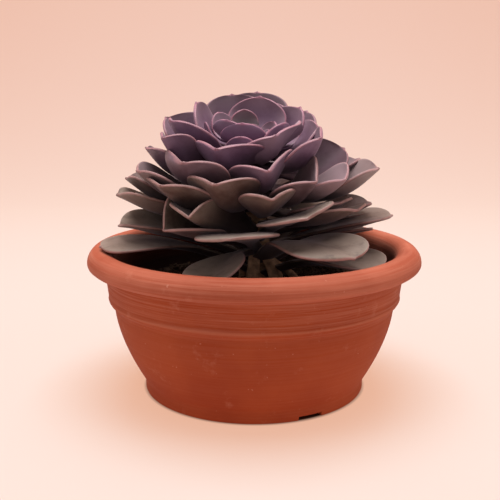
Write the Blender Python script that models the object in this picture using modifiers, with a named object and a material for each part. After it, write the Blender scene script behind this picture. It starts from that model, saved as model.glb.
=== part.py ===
"""Potted echeveria: a terracotta bowl, the soil in it, and one rosette of spoon-shaped leaves.

Sizes are in millimetres and become metres as each mesh is made. +Z is up and the origin is on the
table, at the middle of the pot's foot. Azimuths are in degrees round +Z: 0 is towards the viewer
(-Y) and 90 is to the viewer's right (+X).
"""
import math

import bmesh
import bpy
import numpy as np

MM = 0.001
GAP = 0.3                    # clearance between pieces that touch

# Pot
RIM_CENTRE = (92.0, 79.8)    # radius and height of the middle of the rolled rim
RIM_HALF_WIDTH = 8.0
RIM_UPPER_HEIGHT = 8.5       # the rim rises this much above its middle
RIM_LOWER_HEIGHT = 4.4       # and ends this much below it, with an undercut
NECK = ((90.2, 73.6), (88.8, 66.5), (88.0, 57.4), (86.9, 55.6))
BOWL_TOP = (84.8, 54.0)      # where the bowl leaves the neck band
BOWL_DEPTH = 46.5
BOWL_TAPER = 17.2            # how much narrower the bowl is at its foot
BOWL_CURVE = 1.65
FOOT_RADIUS = 67.4
FOOT_BEVEL = 0.9
FOOT_RING_WIDTH = 9.0
RECESS = 3.0                 # the base is raised this much inside the foot ring
FLOOR = 10.0                 # height of the pot's floor inside
DRAIN_RADIUS = 8.0
WALL = 6.5
INNER_NECK = ((82.0, 58.0), (83.2, 68.0))
TURNED_STEPS = 56
NOTCH_AZIMUTHS = (28.0, 148.0, 268.0)
NOTCH_WIDTH = 15.0
NOTCH_HEIGHT = 2.6

# Soil
SOIL_TOP = 62.0
SOIL_CROWN = 2.0             # how much higher it stands at the stem
STEM_HOLE_FLOOR = 40.0

# Stem: upright in the soil, then drawn a little towards the light
STEM_FOOT = np.array([3.0, 3.0, 55.0])
STEM_APEX = np.array([-4.0, -8.0, 161.0])
STEM_RADIUS = 7.5
CROWN_RADIUS = 10.0          # the stem is thicker where the leaves sit close
CROWN_TIP_RADIUS = 4.5
STEM_STATIONS = 11

# Side stalks round the stem's foot: foot x, foot y, foot radius, and the height where each joins
STALKS = ((-1.0, -12.0, 4.6, 98.0), (13.0, -9.5, 5.2, 96.0), (25.0, -3.0, 3.6, 88.0),
          (-6.0, 15.0, 4.4, 94.0))
STALK_HOLE_FLOOR = 56.0
STALK_STATIONS = 5
STALK_TAPER = 0.35
CROWN_LEAN = 14.0            # degrees that the top of the rosette tips towards the viewer
CROWN_LEAN_FROM = 128.0
CROWN_LEAN_OVER = 20.0

# Leaves, numbered outwards from the bud leaf in the heart
LEAF_COUNT = 73
FALLEN_LEAVES = (69,)
DIVERGENCE = 137.5           # degrees from each leaf to the next
BUD_AZIMUTH = -107.0
BLADE_THICKNESS = 2.2
MUCRO = 1.3                  # the small point at the tip of each leaf
NECK_WIDTH = 0.2             # width of a leaf's foot, as a share of its widest part
FULL_WIDTH_AT = 1.08         # where a leaf would be widest, along its length, if its end weren't round
TIP_CROWDING = 1.85          # how much closer a leaf's rows lie towards its tip
MIDRIB_BEND = 0.58           # where the midrib's arc bends most, along its length
ROWS_ALONG = 5
BANDS_ACROSS = 4

# How a leaf changes with its number, as pairs of number and value
ROOT_HEIGHT = ((0, 156), (3, 152), (10, 148), (19, 143), (27, 134), (48, 108), (61, 80), (72, 68))
REACH = ((0, 2), (3, 10), (6, 18), (10, 29), (14, 41), (19, 54), (27, 65), (38, 74), (48, 78), (61, 86),
         (72, 90))
LIFT = ((0, 4), (3, 12), (6, 16), (10, 22), (14, 23), (19, 21), (27, 12), (38, 9), (48, 14), (61, 25),
        (72, 22))
ARCH = ((0, -0.28), (10, -0.28), (16, -0.20), (27, -0.18), (43, -0.11), (53, -0.02), (61, 0.04), (70, 0.10))
WIDTH = ((0, 9), (2, 15), (4, 20), (6, 26), (10, 37), (14, 42), (19, 46), (27, 48), (48, 48), (61, 51),
         (72, 50))
FOLD = ((3, 12), (10, 14), (14, 26), (27, 22), (48, 16), (70, 6))
ROUNDING = ((10, 0.7), (18, 0.45), (34, 0.28))
PETIOLE = ((16, 0.04), (24, 0.20), (56, 0.26), (72, 0.34))
CUP = 6.0

# What single leaves do of their own accord. turn, root, reach, lift, arch, width, petiole and
# rounding are added to the rule above. fold and cup take its place, for the left and the right
# half: fold is the slope beside the midrib and cup how much steeper it gets towards the margin,
# in degrees. roll turns the whole blade about its midrib, and skew makes the right half wider.
HABITS = {
    2: dict(turn=28, reach=1, lift=4, fold=(5, 5), cup=(25, 25), width=3),
    3: dict(turn=18, reach=9, lift=3, fold=(8, 10), cup=(15, 15), width=12),
    4: dict(lift=-8),
    5: dict(reach=12, lift=-4, width=-2),
    6: dict(turn=-6, reach=1, fold=(8, 8), cup=(15, 15), rounding=-0.1, width=2),
    7: dict(turn=-12, lift=-8.5, reach=-2, width=-10),
    8: dict(turn=19, lift=-4, reach=2, fold=(0, 0), cup=(0, 0), width=-17),
    9: dict(turn=-4, lift=-3, width=-10, rounding=-0.2),
    10: dict(turn=-22, lift=-1, fold=(8, 8), cup=(20, 20), width=2, rounding=-0.15),
    11: dict(turn=28, lift=-7, fold=(8, 8), cup=(8, 8), width=-16),
    12: dict(turn=16, lift=-4, fold=(10, 20), cup=(0, 0), width=4, rounding=0.2, skew=0.3),
    13: dict(turn=11, reach=-6, lift=1, fold=(-5, 14), width=2),
    14: dict(turn=2, lift=-4, fold=(25, 50), cup=(-20, -15), width=9, skew=0.25, petiole=-0.3,
             rounding=0.1),
    15: dict(turn=8, lift=-5),
    16: dict(turn=-1, fold=(10, 50), cup=(0, -20)),
    17: dict(reach=-7, lift=-4, fold=(0, 30), width=-6, skew=0.2),
    18: dict(turn=-16, lift=1),
    19: dict(turn=-3, lift=-4, fold=(30, 61), cup=(8, -46), width=1, skew=0.05),
    20: dict(turn=8, reach=-9, lift=-1, fold=(24, 50)),
    21: dict(turn=-12, reach=-3, fold=(50, 20), cup=(-5, 0)),
    22: dict(turn=2, lift=4, fold=(20, 38), cup=(-30, 20), width=-6, skew=0.15, rounding=-0.1),
    23: dict(lift=15),
    24: dict(turn=-2, lift=6, fold=(40, 85), cup=(-15, -50), width=-14, skew=-0.1, rounding=-0.15),
    25: dict(turn=6, lift=-6, reach=-6, fold=(10, 25), cup=(0, 10), roll=20, width=-6),
    27: dict(turn=3, lift=-4, fold=(42, 60), cup=(-20, -8), skew=0.12),
    29: dict(turn=3, lift=4, reach=-6, fold=(8, 20)),
    30: dict(turn=-10, lift=-9, fold=(22, 20), cup=(-20, 35), width=-3, skew=0.25),
    32: dict(turn=-3, lift=4, fold=(-5, 25), cup=(85, -15), width=2, skew=-0.2, rounding=-0.05),
    34: dict(lift=-12, reach=-6),
    35: dict(turn=2, lift=-1, fold=(20, 72), cup=(-22, 0), width=-5, skew=0.15),
    37: dict(turn=1, lift=5, fold=(30, 12), cup=(10, -5), width=-4),
    38: dict(turn=-4, lift=6, fold=(15, 30), cup=(-5, 0)),
    39: dict(turn=-8, lift=-8, reach=-4),
    40: dict(turn=-8, lift=4.5, fold=(26, 34), cup=(3, -12), width=-4),
    42: dict(turn=2, lift=1),
    43: dict(turn=4, lift=-7, reach=-14, fold=(8, 8), cup=(-5, 0)),
    45: dict(lift=6, fold=(22, 22), cup=(-5, -18)),
    46: dict(lift=-12, reach=-6, fold=(10, 10)),
    47: dict(lift=-5),
    48: dict(turn=-6.5, lift=1, root=2.5, fold=(28, 36), cup=(-12, -6), width=-15),
    50: dict(turn=-1, lift=1, reach=3, fold=(8, 16)),
    51: dict(turn=-10, lift=-4, reach=-12, fold=(8, 5)),
    53: dict(turn=-6, fold=(25, 75), cup=(0, -15), width=-10, skew=-0.2, rounding=0.2, petiole=-0.3),
    54: dict(lift=-12, reach=-8, fold=(8, 8)),
    56: dict(turn=-16, lift=4, fold=(-6, 25), cup=(-8, -5), arch=0.05, width=-7),
    57: dict(lift=-3, width=5),
    58: dict(turn=12, lift=-3, fold=(80, 12), cup=(0, 0), reach=-6, width=-6),
    59: dict(lift=-2, reach=-5, fold=(6, 4), cup=(0, 0)),
    61: dict(turn=-10, root=2, lift=-1, arch=0.02, fold=(-4, 12), cup=(0, -20), width=-6),
    63: dict(turn=3, lift=-2, reach=-3, fold=(13, 9), width=3),
    64: dict(turn=-20, lift=-7, reach=2, fold=(12, 8), cup=(-20, 8), arch=0.05, width=-2, skew=-0.25,
             petiole=-0.45),
    66: dict(turn=10, root=10, lift=-31, reach=-8, fold=(5, 28), cup=(0, 0), skew=0.1, width=-14),
    67: dict(lift=-4, reach=-18),
    71: dict(turn=-8, lift=-0.5, reach=6, fold=(-3, -3), cup=(0, 0), width=-4),
    72: dict(turn=-21, lift=-9, reach=-9),
}


def smooth_step(x):
    """From 0 to 1, level at both ends."""
    x = np.clip(x, 0.0, 1.0)
    return x * x * (3.0 - 2.0 * x)


def by_number(pairs, number):
    """The value for a leaf's number, straight between the given pairs."""
    numbers, values = zip(*pairs)
    return float(np.interp(number, numbers, values))


def material(name, colour, roughness):
    made = bpy.data.materials.new(name)
    made.use_nodes = True
    shader = made.node_tree.nodes["Principled BSDF"]
    shader.inputs["Base Color"].default_value = (*colour, 1.0)
    shader.inputs["Roughness"].default_value = roughness
    shader.inputs["Metallic"].default_value = 0.0
    return made


def add_object(name, mesh, collection, paint=None):
    made = bpy.data.objects.new(name, mesh)
    collection.objects.link(made)
    if paint is not None:
        mesh.materials.clear()
        mesh.materials.append(paint)
    return made


def evaluated_mesh(thing):
    """The mesh of an object or a curve with its modifiers applied."""
    graph = bpy.context.evaluated_depsgraph_get()
    graph.update()
    return bpy.data.meshes.new_from_object(thing.evaluated_get(graph))


def turned(name, profile, collection, paint, closed):
    """Turn a profile of (radius, height) round the Z axis. It runs down the outer side."""
    bm = bmesh.new()
    verts = [bm.verts.new((radius * MM, 0.0, height * MM)) for radius, height in profile]
    for first, second in zip(verts, verts[1:]):
        bm.edges.new((first, second))
    if closed:
        bm.edges.new((verts[-1], verts[0]))
    mesh = bpy.data.meshes.new(name)
    bm.to_mesh(mesh)
    bm.free()
    made = add_object(name, mesh, collection, paint)
    screw = made.modifiers.new("turn", "SCREW")
    screw.steps = TURNED_STEPS
    screw.render_steps = TURNED_STEPS
    screw.use_merge_vertices = True
    screw.merge_threshold = 0.00001
    screw.use_smooth_shade = True
    return made


def bowl_radius(height):
    """The outer radius of the bowl below its neck band."""
    down = (BOWL_TOP[1] - height) / BOWL_DEPTH
    return BOWL_TOP[0] - BOWL_TAPER * max(down, 0.0) ** BOWL_CURVE


def inner_profile():
    """The inside of the pot from its floor up to the rim."""
    points = [(bowl_radius(12.0) - WALL - 5.0, FLOOR), (bowl_radius(13.0) - WALL - 0.8, FLOOR + 2.5)]
    points += [(bowl_radius(height) - WALL, height) for height in (21.0, 31.0, 42.0, 51.0)]
    points += INNER_NECK
    return points


def pot_profile():
    """The whole section of the pot: over the rim, down the outside and up the inside."""
    points = []
    for angle in (180, 150, 120, 90, 60, 30, 0, -26, -52, -76):
        turn = math.radians(angle)
        half_height = RIM_UPPER_HEIGHT if angle > 0 else RIM_LOWER_HEIGHT
        points.append((RIM_CENTRE[0] + RIM_HALF_WIDTH * math.cos(turn),
                       RIM_CENTRE[1] + half_height * math.sin(turn)))
    points += NECK
    points.append(BOWL_TOP)
    points += [(bowl_radius(height), height) for height in (46.0, 37.0, 28.0, 19.0, 11.0)]
    points.append((FOOT_RADIUS, 6.5))
    points.append((FOOT_RADIUS, FOOT_BEVEL))
    points.append((FOOT_RADIUS - FOOT_BEVEL, 0.0))
    ring_inside = FOOT_RADIUS - FOOT_RING_WIDTH
    points += [(ring_inside, 0.0), (ring_inside - 0.8, RECESS)]
    points += [(DRAIN_RADIUS, RECESS), (DRAIN_RADIUS, FLOOR)]
    return points + inner_profile()


def foot_notches(collection):
    """Cutters for the three drain notches through the foot ring."""
    notches = []
    ring_middle = FOOT_RADIUS - FOOT_RING_WIDTH / 2
    for azimuth in NOTCH_AZIMUTHS:
        turn = math.radians(azimuth)
        bpy.ops.mesh.primitive_cube_add(size=1.0)
        notch = bpy.context.object
        notch.name = f"notch_{azimuth:.0f}"
        notch.dimensions = (NOTCH_WIDTH * MM, 2 * FOOT_RING_WIDTH * MM, 2 * NOTCH_HEIGHT * MM)
        notch.location = (ring_middle * MM * math.sin(turn), -ring_middle * MM * math.cos(turn), 0.0)
        notch.rotation_euler = (0.0, 0.0, turn)
        move_to(notch, collection)
        notches.append(notch)
    return notches


def move_to(thing, collection):
    for home in list(thing.users_collection):
        home.objects.unlink(thing)
    collection.objects.link(thing)


def cut(target, cutters):
    for cutter in cutters:
        cutter.hide_render = True
        cutter.display_type = "WIRE"
        boolean = target.modifiers.new(f"cut {cutter.name}", "BOOLEAN")
        boolean.operation = "DIFFERENCE"
        boolean.solver = "EXACT"
        boolean.object = cutter


def make_soil(collection, cutters, paint):
    """The soil fills the pot to its neck and has plain holes for the stem and the stalks."""
    inside = [(radius, height) for radius, height in inner_profile() if height < SOIL_TOP]
    radii, heights = zip(*INNER_NECK)
    edge = np.interp(SOIL_TOP, heights, radii) - GAP
    profile = [(0.0, SOIL_TOP + SOIL_CROWN), (26.0, SOIL_TOP + SOIL_CROWN - 0.4), (58.0, SOIL_TOP + 0.4)]
    profile += [(edge - 2.0, SOIL_TOP), (edge, SOIL_TOP - 0.8)]
    profile += [(radius - GAP, max(height, FLOOR + GAP)) for radius, height in reversed(inside)]
    profile.append((0.0, FLOOR + GAP))
    soil = turned("soil", profile, collection, paint, closed=False)
    holes = [("stem_hole", STEM_FOOT[0], STEM_FOOT[1], STEM_RADIUS, STEM_HOLE_FLOOR, 24)]
    for number, (x, y, radius, _) in enumerate(STALKS):
        holes.append((f"stalk_hole_{number}", x, y, radius, STALK_HOLE_FLOOR, 12))
    for name, x, y, radius, floor, corners in holes:
        depth = SOIL_TOP + 20.0 - floor
        bore = (radius + 2 * GAP) * MM
        bpy.ops.mesh.primitive_cylinder_add(vertices=corners, radius=bore, depth=depth * MM)
        hole = bpy.context.object
        hole.name = name
        hole.location = (x * MM, y * MM, (floor + depth / 2) * MM)
        move_to(hole, cutters)
        cut(soil, [hole])
    return soil


def stem_at(height):
    """The middle of the stem at a height, and the way up there."""
    along = (height - STEM_FOOT[2]) / (STEM_APEX[2] - STEM_FOOT[2])
    drift = float(smooth_step((along - 0.15) / 0.85))
    middle = STEM_FOOT + (STEM_APEX - STEM_FOOT) * np.array([drift, drift, along])
    lean = math.radians(CROWN_LEAN * float(smooth_step((height - CROWN_LEAN_FROM) / CROWN_LEAN_OVER)))
    return middle, np.array([0.0, -math.sin(lean), math.cos(lean)])


def make_tube(name, middles, radii, roundness):
    """A tube through a row of points, as a mesh whose two caps are welded on."""
    curve = bpy.data.curves.new(name, "CURVE")
    curve.dimensions = "3D"
    curve.bevel_depth = radii[0] * MM
    curve.bevel_resolution = roundness
    curve.use_fill_caps = True
    spline = curve.splines.new("POLY")
    spline.points.add(len(middles) - 1)
    for point, middle, radius in zip(spline.points, middles, radii):
        point.co = (*(middle * MM), 1.0)
        point.radius = radius / radii[0]
    guide = bpy.data.objects.new(f"{name}_curve", curve)
    bpy.context.scene.collection.objects.link(guide)
    mesh = evaluated_mesh(guide)
    bpy.data.objects.remove(guide)
    bm = bmesh.new()
    bm.from_mesh(mesh)
    bmesh.ops.remove_doubles(bm, verts=bm.verts, dist=0.00001)
    bm.to_mesh(mesh)
    bm.free()
    return mesh


def make_stem():
    """The stem: it thickens under the leaves and thins again in the heart."""
    heights = np.linspace(STEM_HOLE_FLOOR + GAP, STEM_APEX[2], STEM_STATIONS)
    radii = STEM_RADIUS + (CROWN_RADIUS - STEM_RADIUS) * smooth_step((heights - 68.0) / 25.0)
    radii = radii + (CROWN_TIP_RADIUS - CROWN_RADIUS) * smooth_step((heights - 140.0) / 22.0)
    return make_tube("stem", [stem_at(height)[0] for height in heights], radii, 2)


def make_stalk(number, collection):
    """One side stalk: straight up from the soil, then in to join the stem."""
    x, y, radius, join = STALKS[number]
    along = np.linspace(0.0, 1.0, STALK_STATIONS)
    inward = smooth_step((along - 0.25) / 0.75)[:, None]
    foot = np.array([x, y, STALK_HOLE_FLOOR + GAP])
    joint, _ = stem_at(join)
    middles = foot + (joint - foot) * np.concatenate([inward, inward, along[:, None]], axis=1)
    mesh = make_tube(f"stalk_{number}", middles, radius * (1.0 - STALK_TAPER * along), 1)
    add_object(f"stalk_{number}", mesh, collection)


def leaf_shape(number):
    """The measures of one leaf: the rule for its number, then its own habits."""
    fold = by_number(FOLD, number)
    shape = dict(
        azimuth=BUD_AZIMUTH + number * DIVERGENCE,
        root=by_number(ROOT_HEIGHT, number),
        reach=by_number(REACH, number),
        lift=by_number(LIFT, number),
        arch=by_number(ARCH, number),
        width=by_number(WIDTH, number),
        petiole=by_number(PETIOLE, number),
        rounding=by_number(ROUNDING, number),
        fold=(fold, fold),
        cup=(CUP, CUP),
        roll=0.0,
        skew=0.0,
    )
    habit = HABITS.get(number, {})
    shape["azimuth"] += habit.get("turn", 0)
    for measure in ("root", "lift", "reach", "arch", "width", "petiole", "rounding", "roll", "skew"):
        shape[measure] += habit.get(measure, 0)
    for measure in ("fold", "cup"):
        shape[measure] = habit.get(measure, shape[measure])
    return shape


def half_width(along, petiole, rounding):
    """Half the width of a leaf from its foot (0) to its tip (1): a spoon with a blunt end.

    petiole is the share of the length that stays as narrow as the foot, and below zero it starts
    the leaf wider. rounding is the share that the round end takes.
    """
    widening = (along - petiole) / (FULL_WIDTH_AT - petiole - rounding)
    body = NECK_WIDTH + (1.0 - NECK_WIDTH) * smooth_step(widening)
    past = np.clip(along - 1.0 + rounding, 0.0, 1.0) / rounding
    return body * np.sqrt(np.clip(1.0 - past ** 4, 0.0, 1.0))


def unit(vector):
    return vector / np.linalg.norm(vector)


def leaf_point(shape, u, v):
    """A point in the middle of the blade: u runs from foot to tip, v from -1 to 1 across."""
    along = 1.0 - (1.0 - u) ** TIP_CROWDING
    foot, up = stem_at(shape["root"])
    turn = math.radians(shape["azimuth"])
    out = np.array([math.sin(turn), -math.cos(turn), 0.0])
    out = unit(out - (out @ up) * up)
    side = np.cross(up, out)

    # The midrib is an arc from the stem to the tip, in the plane of out and up
    tip = np.array([shape["reach"], shape["lift"]])
    middle = tip * MIDRIB_BEND + 2.0 * shape["arch"] * np.array([-tip[1], tip[0]])
    across = 2.0 * along * (1.0 - along) * middle + along ** 2 * tip
    slope = unit(2.0 * (1.0 - along) * middle + 2.0 * along * (tip - middle))
    rib = foot + across[0] * out + across[1] * up
    normal = -slope[1] * out + slope[0] * up
    roll = math.radians(shape["roll"]) * float(smooth_step(along / 0.5))
    side, normal = (math.cos(roll) * side + math.sin(roll) * normal,
                    -math.sin(roll) * side + math.cos(roll) * normal)

    # Out from the midrib the blade rises by its fold, and then curls by its cup
    right = 1 if v > 0 else 0
    grown = 0.4 + 0.6 * float(smooth_step(along / 0.6))
    x = abs(v) * np.linspace(0.0, 1.0, 9)
    angle = shape["fold"][right] * (0.5 + 0.5 * smooth_step(x / 0.3)) + shape["cup"][right] * x ** 1.2
    angle = np.radians(grown * angle)
    sign = 1.0 if v > 0 else -1.0
    half = float(half_width(along, shape["petiole"], shape["rounding"])) * shape["width"] / 2
    span = abs(v) * half * (1.0 + shape["skew"] * sign)
    point = rib + span * (sign * np.cos(angle).mean() * side + np.sin(angle).mean() * normal)
    if u > 0.999:
        point = point + MUCRO * (slope[0] * out + slope[1] * up)
    return point


def make_blade(number, collection):
    """One leaf blade: a grid laid along the leaf's surface, split in triangles and thickened."""
    shape = leaf_shape(number)
    rows = ROWS_ALONG if number > 8 else ROWS_ALONG - 1
    bm = bmesh.new()
    bmesh.ops.create_grid(bm, x_segments=rows, y_segments=BANDS_ACROSS, size=1.0)
    for vert in bm.verts:
        vert.co = leaf_point(shape, (vert.co.x + 1.0) / 2.0, vert.co.y) * MM
    bmesh.ops.remove_doubles(bm, verts=bm.verts, dist=0.00001)
    bmesh.ops.triangulate(bm, faces=bm.faces)
    mesh = bpy.data.meshes.new(f"blade_{number}")
    bm.to_mesh(mesh)
    bm.free()
    blade = add_object(f"blade_{number}", mesh, collection)
    thick = blade.modifiers.new("thickness", "SOLIDIFY")
    thick.thickness = BLADE_THICKNESS * MM
    thick.offset = 0.0
    return blade


def keep_largest_body(mesh):
    """Keep only the body with the most faces, so scraps go and sealed hollows are filled."""
    bm = bmesh.new()
    bm.from_mesh(mesh)
    unseen = set(bm.faces)
    bodies = []
    while unseen:
        first = unseen.pop()
        body = {first}
        front = [first]
        while front:
            face = front.pop()
            for edge in face.edges:
                for other in edge.link_faces:
                    if other in unseen:
                        unseen.discard(other)
                        body.add(other)
                        front.append(other)
        bodies.append(body)
    largest = max(bodies, key=len)
    scraps = [face for body in bodies if body is not largest for face in body]
    bmesh.ops.delete(bm, geom=scraps, context="FACES")
    bmesh.ops.dissolve_limit(bm, angle_limit=math.radians(2.0), verts=bm.verts, edges=bm.edges)
    bmesh.ops.triangulate(bm, faces=bm.faces)
    bm.to_mesh(mesh)
    bm.free()


def make_rosette(collection, paint):
    """The stem with all its leaves grown together as one body."""
    blades = bpy.data.collections.new("blades")
    bpy.context.scene.collection.children.link(blades)
    for number in range(LEAF_COUNT):
        if number not in FALLEN_LEAVES:
            make_blade(number, blades)
    for number in range(len(STALKS)):
        make_stalk(number, blades)
    stem = add_object("stem", make_stem(), bpy.context.scene.collection)
    union = stem.modifiers.new("grown together", "BOOLEAN")
    union.operation = "UNION"
    union.solver = "EXACT"
    union.operand_type = "COLLECTION"
    union.collection = blades
    mesh = evaluated_mesh(stem)
    for thing in [stem, *blades.objects]:
        bpy.data.objects.remove(thing)
    bpy.data.collections.remove(blades)
    keep_largest_body(mesh)
    mesh.name = "rosette"
    mesh.shade_smooth()
    mesh.set_sharp_from_angle(angle=math.radians(50.0))
    return add_object("rosette", mesh, collection, paint)


def main():
    for thing in list(bpy.data.objects):
        bpy.data.objects.remove(thing)
    parts = bpy.data.collections.new("potted_echeveria")
    cutters = bpy.data.collections.new("cutters")
    for collection in (parts, cutters):
        bpy.context.scene.collection.children.link(collection)

    terracotta = material("terracotta", (0.32, 0.075, 0.03), 0.8)
    earth = material("earth", (0.035, 0.022, 0.015), 0.95)
    leaf_skin = material("leaf_skin", (0.16, 0.09, 0.11), 0.6)

    pot = turned("pot", pot_profile(), parts, terracotta, closed=True)
    cut(pot, foot_notches(cutters))
    make_soil(parts, cutters, earth)
    make_rosette(parts, leaf_skin)


main()
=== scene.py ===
# %% [markdown]
# # A potted echeveria
#
# This script dresses a small plant in Blender: a terracotta bowl, the soil in it, and a rosette of
# some seventy fleshy leaves. The solid model is already there. It gives every piece its place and
# size, and this script adds what the eye expects: fine leaf edges, waxy bloom, turning marks.

# %% Load the solid model
import math

import bmesh
import bpy
import numpy as np
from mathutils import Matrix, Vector


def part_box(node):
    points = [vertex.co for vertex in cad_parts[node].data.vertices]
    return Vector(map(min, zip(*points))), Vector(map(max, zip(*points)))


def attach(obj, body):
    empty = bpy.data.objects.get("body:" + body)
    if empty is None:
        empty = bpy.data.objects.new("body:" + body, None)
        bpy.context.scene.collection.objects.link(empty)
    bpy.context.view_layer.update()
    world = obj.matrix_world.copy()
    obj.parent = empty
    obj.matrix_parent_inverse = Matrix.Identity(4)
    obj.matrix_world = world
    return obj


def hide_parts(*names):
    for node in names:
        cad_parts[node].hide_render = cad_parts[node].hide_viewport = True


MM = 0.001
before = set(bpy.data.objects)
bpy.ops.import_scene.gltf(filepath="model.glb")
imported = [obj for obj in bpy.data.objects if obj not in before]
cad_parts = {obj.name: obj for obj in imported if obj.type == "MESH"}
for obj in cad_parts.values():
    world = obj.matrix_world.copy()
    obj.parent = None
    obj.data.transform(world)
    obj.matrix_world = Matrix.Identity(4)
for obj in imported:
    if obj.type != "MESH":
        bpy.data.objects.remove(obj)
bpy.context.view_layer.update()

# %% [markdown]
# ## The camera
#
# A photograph fixes four things about its camera: how far it stands, how high, how it is tilted and
# how long its lens is. The bowl's rim, its foot and its drain notch gave them here. The pot's axis
# lies a little to the right of the picture's middle, so the camera also turns a little to the left.

# %% Place the camera
PICTURE_PX = 500.0
FOCAL_PX = 775.0             # focal length, in pixels of the photograph
POT_AXIS_PX = 254.2          # where the pot's axis crosses the photograph, from its left edge
CAMERA_DISTANCE = 463 * MM
CAMERA_HEIGHT = 179 * MM
CAMERA_PITCH = 0.203         # radians below level
SENSOR_WIDTH = 36.0          # mm, the width that the lens is given for

camera_data = bpy.data.cameras.new("photo_camera")
camera_data.sensor_width = SENSOR_WIDTH
camera_data.lens = SENSOR_WIDTH * FOCAL_PX / PICTURE_PX
camera_data.clip_start = 0.01
camera = bpy.data.objects.new("photo_camera", camera_data)
camera.location = (0.0, -CAMERA_DISTANCE, CAMERA_HEIGHT)
camera_turn = math.atan((POT_AXIS_PX - PICTURE_PX / 2) / FOCAL_PX)
camera.rotation_euler = (math.pi / 2 - CAMERA_PITCH, 0.0, camera_turn)
bpy.context.scene.collection.objects.link(camera)
bpy.context.scene.camera = camera
print(f"lens {camera_data.lens:.1f} mm, turned {math.degrees(camera_turn):.2f} degrees")

# %% [markdown]
# ## Surfaces from grids
#
# Every new piece here is a surface worked out on a grid of two numbers, u and v. One helper turns
# such a grid of points into a mesh. A grid can be closed into a ring, which turned pots and leaf
# sections need, and its first or last row can shrink to a single point.

# %% A mesh from a grid of points
def grid_faces(rows, columns, closed):
    """Corner numbers of the quads between neighbouring rows and columns of a grid."""
    across = np.arange(columns if closed else columns - 1)
    next_across = (across + 1) % columns
    base = np.arange(rows - 1)[:, None] * columns
    quads = np.stack([base + across, base + next_across,
                      base + columns + next_across, base + columns + across], axis=-1)
    return quads.reshape(-1, 4)


def add_piece(name, points, faces, material, smooth=True, attributes=None):
    """Make a mesh object from points in metres and quads, and merge the points that coincide."""
    mesh = bpy.data.meshes.new(name)
    mesh.from_pydata(points.reshape(-1, 3).tolist(), [], faces.tolist())
    for key, values in (attributes or {}).items():
        layer = mesh.attributes.new(key, "FLOAT", "POINT")
        layer.data.foreach_set("value", values.astype(np.float32).ravel())
    bm = bmesh.new()
    bm.from_mesh(mesh)
    bmesh.ops.remove_doubles(bm, verts=bm.verts, dist=0.001 * MM)
    bm.to_mesh(mesh)
    bm.free()
    mesh.polygons.foreach_set("use_smooth", np.full(len(mesh.polygons), smooth))
    mesh.materials.append(material)
    piece = bpy.data.objects.new(name, mesh)
    bpy.context.scene.collection.objects.link(piece)
    return piece


def smooth_step(x):
    """0 before 0, 1 after 1, and 3x^2 - 2x^3 between, which is level at both ends."""
    x = np.clip(x, 0.0, 1.0)
    return x * x * (3.0 - 2.0 * x)


# %% [markdown]
# ## Building materials from nodes
#
# A procedural material is a short chain of nodes: coordinates, a noise, a ramp, and the shader. The
# helper below keeps the chains readable, because each call adds one node, sets its values and links
# its inputs.

# %% A helper for node materials
class Finish:
    """A material and the few calls that build its nodes."""

    def __init__(self, name, roughness):
        self.material = bpy.data.materials.new(name)
        self.material.use_nodes = True
        self.nodes = self.material.node_tree.nodes
        self.links = self.material.node_tree.links
        self.shader = self.nodes["Principled BSDF"]
        self.shader.inputs["Roughness"].default_value = roughness

    def add(self, kind, settings=None, **inputs):
        """Add a node. An input is a value, or another node's output socket."""
        node = self.nodes.new(kind)
        for key, value in (settings or {}).items():
            setattr(node, key, value)
        for key, value in inputs.items():
            self.feed(node.inputs[key.replace("_", " ")], value)
        return node

    def feed(self, socket, value):
        """Link a socket to another node's output, or set its value."""
        if isinstance(value, bpy.types.NodeSocket):
            self.links.new(value, socket)
        else:
            socket.default_value = value

    def math(self, operation, first, second=0.0):
        """Work out one sum, product or the like of two values."""
        node = self.add("ShaderNodeMath", {"operation": operation})
        self.feed(node.inputs[0], first)
        self.feed(node.inputs[1], second)
        return node.outputs[0]

    def blend(self, share, first, second):
        """Mix two colours by a share from 0 to 1. Sockets 6 and 7 are where the node takes colours."""
        node = self.add("ShaderNodeMix", {"data_type": "RGBA"})
        self.feed(node.inputs[0], share)
        self.feed(node.inputs[6], first)
        self.feed(node.inputs[7], second)
        return node.outputs[2]

    def fade(self, value, low, high, at_low=0.0, at_high=1.0):
        """Map a value between two limits to another range, and hold it outside them."""
        node = self.add("ShaderNodeMapRange", From_Min=low, From_Max=high,
                        To_Min=at_low, To_Max=at_high)
        self.feed(node.inputs["Value"], value)
        return node.outputs["Result"]

    def noise(self, scale, detail=4.0, vector=None, rough=0.55):
        """Cloudy noise from 0 to 1, with so many clouds to the metre, in the piece's own space."""
        where = vector or self.add("ShaderNodeTexCoord").outputs["Object"]
        node = self.add("ShaderNodeTexNoise", Vector=where, Scale=scale, Detail=detail, Roughness=rough)
        return node.outputs["Fac"]

    def attribute(self, name):
        """A number that the mesh holds at each of its points."""
        return self.add("ShaderNodeAttribute", {"attribute_name": name}).outputs["Fac"]

    def bump(self, height, strength, depth):
        """Make the surface look raised where height is large, by up to depth in metres."""
        node = self.add("ShaderNodeBump", Strength=strength, Distance=depth, Height=height)
        self.links.new(node.outputs["Normal"], self.shader.inputs["Normal"])


def srgb(red, green, blue):
    """A colour as seen on a screen, 0 to 255, as the linear values that shaders use."""
    seen = np.array([red, green, blue]) / 255.0
    linear = np.where(seen <= 0.04045, seen / 12.92, ((seen + 0.055) / 1.055) ** 2.4)
    return (*[float(value) for value in linear], 1.0)


print("terracotta's orange in linear light:", [round(value, 3) for value in srgb(148, 55, 20)[:3]])

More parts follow.
